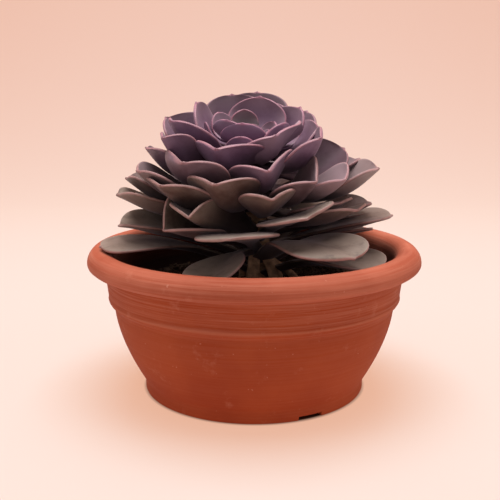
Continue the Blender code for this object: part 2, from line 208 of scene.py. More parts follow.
# %% [markdown]
# ## Terracotta
#
# Unglazed clay scatters light and has hardly any gloss. What makes it look turned on a wheel are
# fine rings: they run level round the pot, so their noise is stretched round the axis and close
# together in height. The rings show on the rim and the neck and fade on the smoother bowl. The rim
# is painted paler than the bowl, as painted light on its top, and the paler clay ends above the neck,
# which stays dark as painted shade under the rim. Inside, the clay is painted dark: painted shade
# that deepens towards the soil.

# %% Mix the terracotta
NECK_RINGS = (50 * MM, 60 * MM)      # heights over which the turning rings come in
RIM_LIGHT_HEIGHTS = (74.5 * MM, 76.5 * MM)    # heights over which the clay turns to the rim's paler colour, painted light on the rim
RIDGE_HEIGHT = 58 * MM               # the neck ends in a fine ridge, along which a pale line is drawn
RIDGE_FADE = (0.2 * MM, 1.2 * MM)    # how far from the ridge its pale line fades
INNER_SHADE_RADII = (84.8 * MM, 86.8 * MM)     # the painted shade inside ends between these, inside the rim
INNER_SHADE_START = (58 * MM, 59 * MM)     # it sets in above these heights, so the bowl's outside has none
INNER_SHADE_FADE = (66 * MM, 81 * MM)      # heights over which it gets weaker


def terracotta():
    """Two clays by height, the rim's paler one as painted light, then rings, the ridge's pale line, dust
    and specks, and painted shade inside over all.
    """
    clay = Finish("terracotta", 0.82)
    place = clay.add("ShaderNodeTexCoord").outputs["Object"]
    parts = clay.add("ShaderNodeSeparateXYZ", Vector=place).outputs
    height = parts["Z"]
    rings = clay.add("ShaderNodeMapping", Vector=place, Scale=(14.0, 14.0, 900.0))
    fine_rings = clay.noise(1.0, 5.0, rings.outputs["Vector"], 0.65)
    wide = clay.add("ShaderNodeMapping", Vector=place, Scale=(9.0, 9.0, 220.0))
    wide_rings = clay.noise(1.0, 3.0, wide.outputs["Vector"], 0.5)
    cloud = clay.fade(clay.noise(24.0, 4.0), 0.35, 0.65)
    grain = clay.noise(1400.0, 3.0)

    bowl_clay = clay.blend(cloud, srgb(148, 55, 20), srgb(160, 66, 28))
    # The rim's paler clay is painted light on its top; it ends above the neck, which stays dark as
    # painted shade under the rim.
    lit_rim_clay = clay.blend(cloud, srgb(156, 70, 44), srgb(174, 87, 61))
    base = clay.blend(clay.fade(height, *RIM_LIGHT_HEIGHTS), bowl_clay, lit_rim_clay)

    on_neck = clay.fade(height, *NECK_RINGS, 0.2, 1.0)
    pale_share = clay.math("MULTIPLY", clay.fade(fine_rings, 0.40, 0.70), on_neck)
    base = clay.blend(clay.math("MULTIPLY", pale_share, 0.4), base, srgb(200, 126, 102))
    dark_share = clay.math("MULTIPLY", clay.fade(wide_rings, 0.55, 0.3), on_neck)
    base = clay.blend(clay.math("MULTIPLY", dark_share, 0.15), base, srgb(126, 48, 28))
    from_ridge = clay.math("ABSOLUTE", clay.math("SUBTRACT", height, RIDGE_HEIGHT))
    base = clay.blend(clay.fade(from_ridge, *RIDGE_FADE, 0.45, 0.0), base, srgb(190, 108, 80))

    dust = clay.fade(clay.noise(60.0, 5.0, rough=0.7), 0.60, 0.78)
    base = clay.blend(clay.math("MULTIPLY", dust, 0.3), base, srgb(206, 138, 114))
    specks = clay.fade(clay.noise(520.0, 1.0), 0.76, 0.82)
    base = clay.blend(clay.math("MULTIPLY", specks, 0.3), base, srgb(216, 160, 138))

    # Inside the pot the clay is painted nearly black: painted shade, strongest near the soil and weaker
    # up towards the rim.
    sideways = clay.add("ShaderNodeCombineXYZ", X=parts["X"], Y=parts["Y"]).outputs["Vector"]
    radius = clay.add("ShaderNodeVectorMath", {"operation": "LENGTH"}, Vector=sideways).outputs["Value"]
    inside = clay.fade(radius, *INNER_SHADE_RADII, 1.0, 0.0)
    shade_by_height = clay.fade(height, *INNER_SHADE_FADE, 0.95, 0.5)
    inner_shade = clay.math("MULTIPLY", clay.math("MULTIPLY", inside, shade_by_height), clay.fade(height, *INNER_SHADE_START))
    base = clay.blend(inner_shade, base, srgb(30, 13, 8))
    clay.feed(clay.shader.inputs["Base Color"], base)

    ring_relief = clay.math("MULTIPLY", fine_rings, on_neck)
    clay.bump(clay.math("ADD", ring_relief, clay.math("MULTIPLY", grain, 0.3)), 0.5, 0.4 * MM)
    clay.shader.inputs["Specular IOR Level"].default_value = 0.3
    return clay.material


clay_finish = terracotta()
print("terracotta:", len(clay_finish.node_tree.nodes), "nodes")

# %% [markdown]
# ## The bowl
#
# A turned pot is one outline carried round an axis. The outline below starts inside the rim, goes
# over it and down the outside, under the foot and back up the inside, so the surface is closed. Its
# main sizes come from the solid pot. Three notches in the foot ring let water drain: there the
# foot's lowest points are lifted, and a pair of columns on each side keeps the notch's walls steep.

# %% The pot's outline
_, pot_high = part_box("pot")
RIM_OUTSIDE = pot_high[0] / MM
RIM_TOP = pot_high[2] / MM
RIM_HALF_WIDTH = 8.0
RIM_UPPER_HEIGHT = 8.5
RIM_LOWER_HEIGHT = 4.4
BOWL_INSET = 15.2            # the bowl's top is this much narrower than the rim, in radius
BOWL_TOP = 54.0
BOWL_DEPTH = 46.5
BOWL_TAPER = 17.2            # and its foot is this much narrower still
BOWL_CURVE = 1.65
WALL = 6.5
FOOT_RADIUS = 67.4
FOOT_RING_WIDTH = 9.0
RECESS = 3.0
FLOOR = 10.0
DRAIN_RADIUS = 8.0
SMALL_BEVEL = 0.6
NOTCH_AZIMUTHS = (28.0, 148.0, 268.0)
NOTCH_WIDTH = 15.0
NOTCH_HEIGHT = 2.6


def bowl_radius(height):
    """The bowl's outside: its top radius less a power of the depth, so it draws in ever faster."""
    down = np.clip((BOWL_TOP - height) / BOWL_DEPTH, 0.0, None)
    return RIM_OUTSIDE - BOWL_INSET - BOWL_TAPER * down ** BOWL_CURVE


def arc(centre, half_width, half_height, start, end, count):
    """Points on an ellipse between two angles in degrees."""
    turn = np.radians(np.linspace(start, end, count))
    across = centre[0] + half_width * np.cos(turn)
    return np.stack([across, centre[1] + half_height * np.sin(turn)], axis=1)


def pot_outline():
    """The pot's section as (radius, height) in mm, from inside the rim and round to it again."""
    middle = (RIM_OUTSIDE - RIM_HALF_WIDTH, RIM_TOP - RIM_UPPER_HEIGHT)
    upper_rim = arc(middle, RIM_HALF_WIDTH, RIM_UPPER_HEIGHT, 180, 0, 30)
    lower_rim = arc(middle, RIM_HALF_WIDTH, RIM_LOWER_HEIGHT, -6, -76, 14)
    neck = np.array([(92.0, 75.3), (90.8, 74.7), (90.1, 73.4), (89.5, 70.0), (88.9, 66.6),
                     (88.3, 61.5), (88.1, 58.6), (88.3, 58.0), (88.1, 57.3), (87.5, 56.2),
                     (86.2, 55.0), (85.2, 54.3)])
    heights = np.linspace(53.0, 8.4, 44)
    bowl = np.stack([bowl_radius(heights), heights], axis=1)
    ring_inside = FOOT_RADIUS - FOOT_RING_WIDTH
    foot = np.array([(FOOT_RADIUS + 0.3, 7.4), (FOOT_RADIUS, 6.4), (FOOT_RADIUS, 4.0),
                     (FOOT_RADIUS, NOTCH_HEIGHT), (FOOT_RADIUS, 1.0), (FOOT_RADIUS - 0.3, 0.3),
                     (FOOT_RADIUS - 0.9, 0.0), (FOOT_RADIUS - 4.4, 0.0), (ring_inside + 0.5, 0.0),
                     (ring_inside, 0.4), (ring_inside - SMALL_BEVEL, RECESS)])
    base = np.array([(40.0, RECESS), (DRAIN_RADIUS + SMALL_BEVEL, RECESS),
                     (DRAIN_RADIUS, RECESS + SMALL_BEVEL), (DRAIN_RADIUS, FLOOR - SMALL_BEVEL),
                     (DRAIN_RADIUS + SMALL_BEVEL, FLOOR), (40.0, FLOOR), (58.0, FLOOR),
                     (62.4, FLOOR + 2.5)])
    heights = np.linspace(16.0, 51.0, 14)
    inside = np.stack([bowl_radius(heights) - WALL, heights], axis=1)
    throat = np.array([(82.0, 58.0), (82.6, 64.0), (83.2, 69.0), (83.6, 74.0)])
    return np.concatenate([upper_rim, lower_rim, neck, bowl, foot, base, inside, throat])


outline = pot_outline()
print(len(outline), "points in the outline, widest", round(float(outline[:, 0].max()), 1), "mm")

# %% Turn the outline
TURNED_COLUMNS = 216
NOTCH_WALL = 0.15            # degrees from the notch's edge to the columns beside it
MARK_HEIGHT = 0.05           # of the turning marks
half_notch = math.degrees(NOTCH_WIDTH / 2 / FOOT_RADIUS)
notch_edges = [azimuth + side * (half_notch + nudge) for azimuth in NOTCH_AZIMUTHS
               for side in (-1, 1) for nudge in (-NOTCH_WALL, NOTCH_WALL)]
even_columns = np.linspace(0.0, 360.0, TURNED_COLUMNS, endpoint=False)
columns = np.unique(np.concatenate([even_columns, notch_edges]))


def turn_outline(outline, columns):
    """Carry the outline round the axis: column angle a puts a point at (r sin a, -r cos a, z).

    The radius gets turning marks: a sum of sines of the height whose strength drifts round the pot.
    """
    turn = np.radians(columns)[:, None]
    radius = outline[None, :, 0] + 0.0 * turn
    height = outline[None, :, 1] + 0.0 * turn
    marks = np.sin(height * 5.1 + np.sin(2 * turn))
    marks = marks + 0.7 * np.sin(height * 8.7 + 1.3 * np.sin(3 * turn))
    outside = smooth_step((radius - 84.0) / 3.0) * smooth_step((height - 50.0) / 6.0)
    radius = radius + MARK_HEIGHT * marks * outside * (radius < RIM_OUTSIDE - 0.3)
    from_each = [np.abs((columns - azimuth + 180.0) % 360.0 - 180.0) for azimuth in NOTCH_AZIMUTHS]
    from_notch = np.min(from_each, axis=0)[:, None]
    in_notch = (from_notch < half_notch) & (radius > FOOT_RADIUS - FOOT_RING_WIDTH - 0.7)
    height = np.where(in_notch, np.maximum(height, NOTCH_HEIGHT), height)
    return np.stack([radius * np.sin(turn), -radius * np.cos(turn), height], axis=-1) * MM


def closed_both_ways(rows, columns):
    """Quads of a grid whose rows and columns both close into rings."""
    faces = grid_faces(rows + 1, columns, True)
    return faces % (rows * columns)


pot_points = turn_outline(outline, columns)
pot = add_piece("turned_pot", pot_points, closed_both_ways(*pot_points.shape[:2]), clay_finish)
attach(pot, "root")
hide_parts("pot")
print("pot:", len(pot.data.polygons), "faces")

# %% [markdown]
# ## Potting soil
#
# Soil is a heap of crumbs of many sizes. A gently humped disc carries the overall shape, and a few
# thousand little crumbs lie on it. Each crumb is a small box with its corners pushed in or out at
# random, so it costs only six faces. Between the leaves almost no light reaches the soil.

# %% Mix the soil
def potting_soil():
    """Two browns in lumps, with pale flecks, over a coarse bump."""
    earth = Finish("potting_soil", 0.95)
    lump = earth.noise(160.0, 5.0)
    fleck = earth.fade(earth.noise(900.0, 2.0), 0.62, 0.72)
    base = earth.blend(earth.fade(lump, 0.3, 0.7), srgb(38, 26, 19), srgb(74, 52, 38))
    base = earth.blend(earth.math("MULTIPLY", fleck, 0.35), base, srgb(132, 104, 80))
    earth.feed(earth.shader.inputs["Base Color"], base)
    earth.bump(lump, 0.8, 1 * MM)
    earth.shader.inputs["Specular IOR Level"].default_value = 0.2
    return earth.material


soil_finish = potting_soil()
print("potting soil:", len(soil_finish.node_tree.nodes), "nodes")

# %% Lay the soil
SOIL_TOP = 62.0
SOIL_CROWN = 2.0             # how much higher the soil stands at the stem
CRUMB_ROOM = 1.4             # the disc lies this much lower, which leaves room for the crumbs
WALL_GAP = 0.5
_, soil_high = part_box("soil")
soil_radius = soil_high[0] / MM - 0.3


def soil_height(radius, turn):
    """A low hump at the stem, plus two pairs of crossing waves that make it uneven."""
    x = radius * np.sin(turn)
    y = radius * np.cos(turn)
    waves = np.sin(x / 7.0 + 1.0) * np.sin(y / 9.0)
    waves = waves + 0.5 * np.sin((x + y) / 4.1) * np.sin((x - y) / 5.3)
    hump = SOIL_CROWN * (1.0 - smooth_step(radius / 60.0))
    return SOIL_TOP - CRUMB_ROOM + hump + 0.5 * waves


def soil_surface(rings=60, columns=120):
    """Rings of points from the middle out, then down the wall and under to the middle again."""
    radius = np.linspace(0.0, soil_radius, rings)[:, None]
    turn = np.linspace(0.0, 2 * np.pi, columns, endpoint=False)[None, :]
    height = soil_height(radius, turn)
    top = np.stack([radius * np.sin(turn), -radius * np.cos(turn), height + 0.0 * turn], axis=-1)
    wall = bowl_radius(np.array([50.0, 30.0, 14.0])) - WALL - WALL_GAP
    bottom = FLOOR + 0.4
    under = [np.stack([r * np.sin(turn[0]), -r * np.cos(turn[0]), np.full(columns, z)], axis=-1)
             for r, z in zip([*wall, 0.0], [50.0, 30.0, bottom, bottom])]
    return np.concatenate([top, np.array(under)]) * MM


soil_points = soil_surface()
soil = add_piece("soil_plug", soil_points, grid_faces(*soil_points.shape[:2], True), soil_finish)

# %% Scatter the crumbs
CRUMBS = 3600
SMALLEST_CRUMB = 0.7
CRUMB_SPREAD = 2.6           # the largest crumbs are this much larger
rng = np.random.default_rng(11)


def crumbs(count):
    """Small lumps: an eight-cornered box, each corner moved at random and each lump turned."""
    corners = np.array([(x, y, z) for z in (-1, 1) for y in (-1, 1) for x in (-1, 1)], float) * 0.5
    quads = np.array([(0, 2, 3, 1), (4, 5, 7, 6), (0, 1, 5, 4), (2, 6, 7, 3), (0, 4, 6, 2),
                      (1, 3, 7, 5)])
    size = SMALLEST_CRUMB + CRUMB_SPREAD * rng.random(count) ** 3
    distance = soil_radius * np.sqrt(rng.random(count)) * 0.985
    turn = rng.random(count) * 2 * np.pi
    height = soil_height(distance, turn)
    middle = np.stack([distance * np.sin(turn), -distance * np.cos(turn), height], axis=-1)
    shape = corners[None] * (1.0 + 0.5 * (rng.random((count, 8, 3)) - 0.5)) * size[:, None, None]
    axes = np.linalg.qr(rng.normal(size=(count, 3, 3)))[0]
    axes *= np.sign(np.linalg.det(axes))[:, None, None]
    points = np.einsum("nij,nkj->nki", axes, shape) + middle[:, None, :]
    faces = quads[None] + 8 * np.arange(count)[:, None, None]
    return points * MM, faces.reshape(-1, 4)


crumb_points, crumb_faces = crumbs(CRUMBS)
crumb_layer = add_piece("soil_crumbs", crumb_points, crumb_faces, soil_finish, smooth=False)
for piece in (soil, crumb_layer):
    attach(piece, "root")
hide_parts("soil")
print("soil:", len(soil.data.polygons), "faces, and", CRUMBS, "crumbs")

# %% [markdown]
# ## How the leaves are placed
#
# Echeveria leaves grow one after another, each turned 137.5 degrees from the last: the golden angle.
# So a leaf's number alone gives its direction, and the leaf's age gives its place on the stem, its
# length and how far it has opened. Number 0 is the bud in the heart and number 72 the oldest leaf.
# A short table of habits then bends single leaves the way this plant's leaves have bent.

# %% The rule for a leaf
LEAF_COUNT = 73
FALLEN_LEAVES = (69,)
DIVERGENCE = 137.5
BUD_AZIMUTH = -107.0
STEM_FOOT = np.array([3.0, 3.0, 55.0])
STEM_APEX = np.array([-4.0, -8.0, 161.0])
CROWN_LEAN = 14.0            # degrees that the top of the rosette tips towards the viewer
CROWN_LEAN_FROM = 128.0
CROWN_LEAN_OVER = 20.0

# How a leaf changes with its number, as pairs of number and value. KEEL is how far the lower face
# bulges under the midrib.
ROOT_HEIGHT = ((0, 156), (3, 152), (10, 148), (19, 143), (27, 134), (48, 108), (61, 80), (72, 68))
REACH = ((0, 2), (3, 10), (6, 18), (10, 29), (14, 41), (19, 54), (27, 65), (38, 74), (48, 78),
         (61, 86), (72, 90))
LIFT = ((0, 4), (3, 12), (6, 16), (10, 22), (14, 23), (19, 21), (27, 12), (38, 9), (48, 14),
        (61, 25), (72, 22))
ARCH = ((0, -0.28), (10, -0.28), (16, -0.20), (27, -0.18), (43, -0.11), (53, -0.02), (61, 0.04),
        (70, 0.10))
WIDTH = ((0, 9), (2, 15), (4, 20), (6, 26), (10, 37), (14, 42), (19, 46), (27, 48), (48, 48),
         (61, 51), (72, 50))
FOLD = ((3, 12), (10, 14), (14, 26), (27, 22), (48, 16), (70, 6))
ROUNDING = ((10, 0.7), (18, 0.45), (34, 0.28))
PETIOLE = ((16, 0.04), (24, 0.20), (56, 0.26), (72, 0.34))
KEEL = ((20, 1.4), (55, 3.0))
CUP = 6.0

# What single leaves do of their own accord. turn, root, reach, lift, arch, width, petiole and
# rounding are added to the rule above. fold and cup take its place, for the left and the right
# half: fold is the slope beside the midrib and cup how much steeper it gets towards the margin,
# in degrees. roll turns the whole blade about its midrib, and skew makes the right half wider.
HABITS = {
    2: dict(turn=28, reach=1, lift=4, fold=(5, 5), cup=(25, 25), width=3),
    3: dict(turn=18, reach=9, lift=3, fold=(8, 10), cup=(15, 15), width=12),
    4: dict(lift=-8),
    5: dict(reach=12, lift=-4, width=-2),
    6: dict(turn=-6, reach=1, fold=(8, 8), cup=(15, 15), rounding=-0.1, width=2),
    7: dict(turn=-12, lift=-8.5, reach=-2, width=-10),
    8: dict(turn=19, lift=-4, reach=2, fold=(0, 0), cup=(0, 0), width=-17),
    9: dict(turn=-4, lift=-3, width=-10, rounding=-0.2),
    10: dict(turn=-22, lift=-1, fold=(8, 8), cup=(20, 20), width=2, rounding=-0.15),
    11: dict(turn=28, lift=-7, fold=(8, 8), cup=(8, 8), width=-16),
    12: dict(turn=16, lift=-4, fold=(10, 20), cup=(0, 0), width=4, rounding=0.2, skew=0.3),
    13: dict(turn=11, reach=-6, lift=1, fold=(-5, 14), width=2),
    14: dict(turn=2, lift=-4, fold=(25, 50), cup=(-20, -15), width=9, skew=0.25, petiole=-0.3,
             rounding=0.1),
    15: dict(turn=8, lift=-5),
    16: dict(turn=-1, fold=(10, 50), cup=(0, -20)),
    17: dict(reach=-7, lift=-4, fold=(0, 30), width=-6, skew=0.2),
    18: dict(turn=-16, lift=1),
    19: dict(turn=-3, lift=-4, fold=(30, 61), cup=(8, -46), width=1, skew=0.05),
    20: dict(turn=8, reach=-9, lift=-1, fold=(24, 50)),
    21: dict(turn=-12, reach=-3, fold=(50, 20), cup=(-5, 0)),
    22: dict(turn=2, lift=4, fold=(20, 38), cup=(-30, 20), width=-6, skew=0.15, rounding=-0.1),
    23: dict(lift=15),
    24: dict(turn=-2, lift=6, fold=(40, 85), cup=(-15, -50), width=-14, skew=-0.1, rounding=-0.15),
    25: dict(turn=6, lift=-6, reach=-6, fold=(10, 25), cup=(0, 10), roll=20, width=-6),
    27: dict(turn=3, lift=-4, fold=(42, 60), cup=(-20, -8), skew=0.12),
    29: dict(turn=3, lift=4, reach=-6, fold=(8, 20)),
    30: dict(turn=-10, lift=-9, fold=(22, 20), cup=(-20, 35), width=-3, skew=0.25),
    32: dict(turn=-3, lift=4, fold=(-5, 25), cup=(85, -15), width=2, skew=-0.2, rounding=-0.05),
    34: dict(lift=-12, reach=-6),
    35: dict(turn=2, lift=-1, fold=(20, 72), cup=(-22, 0), width=-5, skew=0.15),
    37: dict(turn=1, lift=5, fold=(30, 12), cup=(10, -5), width=-4),
    38: dict(turn=-4, lift=6, fold=(15, 30), cup=(-5, 0)),
    39: dict(turn=-8, lift=-8, reach=-4),
    40: dict(turn=-8, lift=4.5, fold=(26, 34), cup=(3, -12), width=-4),
    42: dict(turn=2, lift=1),
    43: dict(turn=4, lift=-7, reach=-14, fold=(8, 8), cup=(-5, 0)),
    45: dict(lift=6, fold=(22, 22), cup=(-5, -18)),
    46: dict(lift=-12, reach=-6, fold=(10, 10)),
    47: dict(lift=-5),
    48: dict(turn=-6.5, lift=1, root=2.5, fold=(28, 36), cup=(-12, -6), width=-15),
    50: dict(turn=-1, lift=1, reach=3, fold=(8, 16)),
    51: dict(turn=-10, lift=-4, reach=-12, fold=(8, 5)),
    53: dict(turn=-6, fold=(25, 75), cup=(0, -15), width=-10, skew=-0.2, rounding=0.2, petiole=-0.3),
    54: dict(lift=-12, reach=-8, fold=(8, 8)),
    56: dict(turn=-16, lift=4, fold=(-6, 25), cup=(-8, -5), arch=0.05, width=-7),
    57: dict(lift=-3, width=5),
    58: dict(turn=12, lift=-3, fold=(80, 12), cup=(0, 0), reach=-6, width=-6),
    59: dict(lift=-2, reach=-5, fold=(6, 4), cup=(0, 0)),
    61: dict(turn=-10, root=2, lift=-1, arch=0.02, fold=(-4, 12), cup=(0, -20), width=-6),
    63: dict(turn=3, lift=-2, reach=-3, fold=(13, 9), width=3),
    64: dict(turn=-20, lift=-7, reach=2, fold=(12, 8), cup=(-20, 8), arch=0.05, width=-2, skew=-0.25,
             petiole=-0.45),
    66: dict(turn=10, root=10, lift=-31, reach=-8, fold=(5, 28), cup=(0, 0), skew=0.1, width=-14),
    67: dict(lift=-4, reach=-18),
    71: dict(turn=-8, lift=-0.5, reach=6, fold=(-3, -3), cup=(0, 0), width=-4),
    72: dict(turn=-21, lift=-9, reach=-9),
}

# Leaves painted darker than their age says (above zero), as painted shade where other leaves shadow
# them, and leaves painted paler (below zero), as painted light where they catch it. The others get a
# random value from 0 to 1, which darkens them a little.
LEAF_LIGHT_AND_SHADE = {14: -2.0, 18: 2.4, 23: 2.4, 25: 2.8, 30: -3.0, 38: -2.0, 46: 3.0, 50: -1.5, 53: -1.0,
              56: -0.8, 61: -2.0, 63: -0.8, 66: -1.2, 71: -1.0}


def leaf_shape(number):
    """The measures of one leaf: the rule for its number, then its own habits."""
    def rule(pairs):
        """The value for this leaf, straight between the given pairs."""
        numbers, values = zip(*pairs)
        return float(np.interp(number, numbers, values))

    habit = HABITS.get(number, {})
    fold = rule(FOLD)
    shape = dict(number=number, azimuth=BUD_AZIMUTH + number * DIVERGENCE, root=rule(ROOT_HEIGHT),
                 reach=rule(REACH), lift=rule(LIFT), arch=rule(ARCH), width=rule(WIDTH),
                 petiole=rule(PETIOLE), rounding=rule(ROUNDING), keel=rule(KEEL), roll=0.0,
                 skew=0.0, fold=habit.get("fold", (fold, fold)), cup=habit.get("cup", (CUP, CUP)))
    shape["azimuth"] += habit.get("turn", 0)
    for measure in ("root", "lift", "reach", "arch", "width", "petiole", "rounding", "roll", "skew"):
        shape[measure] += habit.get(measure, 0)
    return shape


def stem_at(height):
    """The middle of the stem at a height, and the way up there.

    Both drift by a smooth step: the middle towards the apex, and the way up towards the viewer.
    """
    along = (height - STEM_FOOT[2]) / (STEM_APEX[2] - STEM_FOOT[2])
    drift = float(smooth_step((along - 0.15) / 0.85))
    middle = STEM_FOOT + (STEM_APEX - STEM_FOOT) * np.array([drift, drift, along])
    lean = math.radians(CROWN_LEAN * float(smooth_step((height - CROWN_LEAN_FROM) / CROWN_LEAN_OVER)))
    return middle, np.array([0.0, -math.sin(lean), math.cos(lean)])


front_leaf = (leaf_shape(19)["azimuth"] + 180) % 360 - 180
print("leaf 19 points", round(front_leaf, 1), "degrees from the viewer")

# %% [markdown]
# ## One leaf as a surface
#
# A leaf is a flat tube. Its rows run from foot to tip along an arc, the midrib. Around each row a
# ring of points goes over the top face, round the right edge, back under the lower face and round
# the left edge. The two halves rise from the midrib by a fold angle that changes towards the edge,
# and the edge itself ripples a little. The tip ends in a small point.

# %% The leaf's outline and section
NECK_WIDTH = 0.2             # width of a leaf's foot, as a share of its widest part
FULL_WIDTH_AT = 1.08         # where a leaf would be widest if its end weren't round
TIP_CROWDING = 1.85          # how much closer the rows lie towards the tip
MIDRIB_BEND = 0.58           # where the midrib's arc bends most, along its length
EDGE_THICKNESS = 1.6
MUCRO = 1.1                  # the small point at the tip
RIPPLE = 0.012               # height of a margin's ripples, as a share of the leaf's width
ROWS = 40
HALF_RING = 19
SLOPE_STEPS = 9

# Leaves narrower than these widths get a thinner edge, a flatter keel and a smaller point
THICK_FROM_WIDTH = 26.0
KEEL_FROM_WIDTH = 40.0
MUCRO_FROM_WIDTH = 45.0


def half_width(along, petiole, rounding):
    """Half the width from foot (0) to tip (1): a spoon that widens slowly and ends bluntly.

    petiole is the share of the length that stays as narrow as the foot, and below zero it starts
    the leaf wider. rounding is the share that the round end takes: young leaves are the roundest.
    """
    widening = (along - petiole) / (FULL_WIDTH_AT - petiole - rounding)
    body = NECK_WIDTH + (1.0 - NECK_WIDTH) * smooth_step(widening)
    past = np.clip(along - 1.0 + rounding, 0.0, 1.0) / rounding
    return body * np.sqrt(np.clip(1.0 - past ** 4, 0.0, 1.0))


def ring_around():
    """Positions round a section: v from -1 to 1 across the top, then back underneath."""
    top = np.sin(np.linspace(-1.0, 1.0, HALF_RING) * np.pi / 2)
    v = np.concatenate([top, top[-2:0:-1]])
    face = np.concatenate([np.ones(HALF_RING), -np.ones(HALF_RING - 2)])
    return v, face


def unit(vectors):
    """The same directions with length one."""
    return vectors / np.linalg.norm(vectors, axis=-1, keepdims=True)


def midrib(shape, along):
    """The midrib's points, and the ways forward, sideways and out of the upper face at each.

    It is an arc of the second degree from the stem to the tip, in the plane of out and up. A roll
    turns sideways and the face about the way forward.
    """
    foot, up = stem_at(shape["root"])
    turn = math.radians(shape["azimuth"])
    level = np.array([math.sin(turn), -math.cos(turn), 0.0])
    out = unit(level - (level @ up) * up)
    side = np.cross(up, out)

    tip = np.array([shape["reach"], shape["lift"]])
    middle = tip * MIDRIB_BEND + 2.0 * shape["arch"] * np.array([-tip[1], tip[0]])
    s = along[:, None]
    arc_point = 2.0 * s * (1.0 - s) * middle + s ** 2 * tip
    slope = unit(2.0 * (1.0 - s) * middle + 2.0 * s * (tip - middle))
    rib = foot + arc_point[:, :1] * out + arc_point[:, 1:] * up
    forward = slope[:, :1] * out + slope[:, 1:] * up
    normal = slope[:, :1] * up - slope[:, 1:] * out
    roll = np.radians(shape["roll"]) * smooth_step(along / 0.5)[:, None]
    return (rib, forward, np.cos(roll) * side + np.sin(roll) * normal,
            np.cos(roll) * normal - np.sin(roll) * side)


def blade_slopes(shape, along, v):
    """How steep the blade is, in radians, at a few steps from the midrib out to each v.

    The slope is fold * ease + cup * v^1.2 for each half, and less near the foot.
    """
    fold = np.where(v > 0, shape["fold"][1], shape["fold"][0])
    cup = np.where(v > 0, shape["cup"][1], shape["cup"][0])
    steps = np.abs(v)[:, None] * np.linspace(0.0, 1.0, SLOPE_STEPS)
    ease = 0.5 + 0.5 * smooth_step(steps / 0.3)
    slopes = fold[:, None] * ease + cup[:, None] * steps ** 1.2
    grown = 0.4 + 0.6 * smooth_step(along / 0.6)
    return np.radians(grown[:, None, None] * slopes[None])


def margin_ripple(shape, along, v, sign, phase):
    """Two sines along each margin. They fade as the cube of v inwards, and towards the foot."""
    waves = (np.sin(7.0 * along[:, None] + phase[0] + sign * phase[1])
             + 0.6 * np.sin(12.0 * along[:, None] + phase[2] + sign * phase[3]))
    return RIPPLE * shape["width"] * waves * np.abs(v) ** 3 * smooth_step(along / 0.5)[:, None]


def from_middle(shape, along, v, face, half, length):
    """How far each face lies from the blade's middle: half a thickness, and under it the keel.

    An ellipse rounds the margins and the tip.
    """
    thick = EDGE_THICKNESS / 2 * min(1.0, shape["width"] / THICK_FROM_WIDTH)
    edge = np.clip(thick / np.maximum(half, 0.01), 0.02, 1.0)[:, None]
    past = np.clip(np.abs(v) - 1.0 + edge, 0.0, 1.0) / edge
    rounding = np.sqrt(np.clip(1.0 - past ** 2, 0.0, 1.0))
    end = np.clip((along - 1.0 + thick / length) / (thick / length), 0.0, 1.0)
    rounding = rounding * np.sqrt(1.0 - end ** 2)[:, None]
    keel = shape["keel"] * min(1.0, shape["width"] / KEEL_FROM_WIDTH)
    keel = np.where(face < 0, keel * (1.0 - v ** 2), 0.0)
    keel = keel * smooth_step((1.0 - along) / 0.35)[:, None]
    return face * (thick + keel) * rounding


def leaf_grid(shape):
    """Rows of points from the foot to the tip, and what the material needs to know at each.

    Across the midrib the blade's slopes are summed outwards. The two faces lie to each side of this
    middle surface along its normal, and the tip is drawn out to its point by a bell curve.
    """
    habits = np.random.default_rng(100 + shape["number"])
    along = 1.0 - (1.0 - np.linspace(0.0, 1.0, ROWS)) ** TIP_CROWDING
    rib, forward, side, normal = midrib(shape, along)
    length = math.hypot(shape["reach"], shape["lift"])

    v, face = ring_around()
    sign = np.where(v > 0, 1.0, -1.0)
    slopes = blade_slopes(shape, along, v)
    half = half_width(along, shape["petiole"], shape["rounding"]) * shape["width"] / 2
    span = half[:, None] * (np.abs(v) * (1.0 + shape["skew"] * sign))[None]
    across = (span * sign * np.cos(slopes).mean(axis=2))[..., None] * side[:, None, :]
    rise = (span * np.sin(slopes).mean(axis=2))[..., None] * normal[:, None, :]
    local = slopes[..., -1]
    local_normal = (np.cos(local)[..., None] * normal[:, None, :]
                    - (sign * np.sin(local))[..., None] * side[:, None, :])

    ripple = margin_ripple(shape, along, v, sign, habits.uniform(0.0, 2 * np.pi, 4))
    offset = from_middle(shape, along, v, face, half, length) + ripple
    points = rib[:, None, :] + across + rise + offset[..., None] * local_normal
    mucro = MUCRO * min(1.0, shape["width"] / MUCRO_FROM_WIDTH) ** 2
    point_out = mucro * np.exp(-span ** 2) * smooth_step((along - 0.98) / 0.02)[:, None]
    points = points + point_out[..., None] * forward[:, None, :]
    points = np.concatenate([np.repeat(rib[:1, None, :], len(v), axis=1), points])

    to_edge = np.minimum(half[:, None] * (1.0 - np.abs(v)), (1.0 - along)[:, None] * length)
    known = dict(to_edge=to_edge, along=along[:, None] + 0.0 * v,
                 under=0.5 - 0.5 * face * np.ones_like(to_edge))
    known = {key: np.concatenate([values[:1], values]) for key, values in known.items()}
    known["age"] = np.full_like(known["along"], shape["number"] / (LEAF_COUNT - 1))
    # Listed leaves take a value that paints shade on them (above zero) and light on them (below zero).
    tone_light_and_shade = LEAF_LIGHT_AND_SHADE.get(shape["number"], habits.random())
    known["tone_light_and_shade"] = np.full_like(known["along"], tone_light_and_shade)
    return points, known


sample, _ = leaf_grid(leaf_shape(27))
print("leaf 27 has", sample.shape[0] * sample.shape[1], "points")
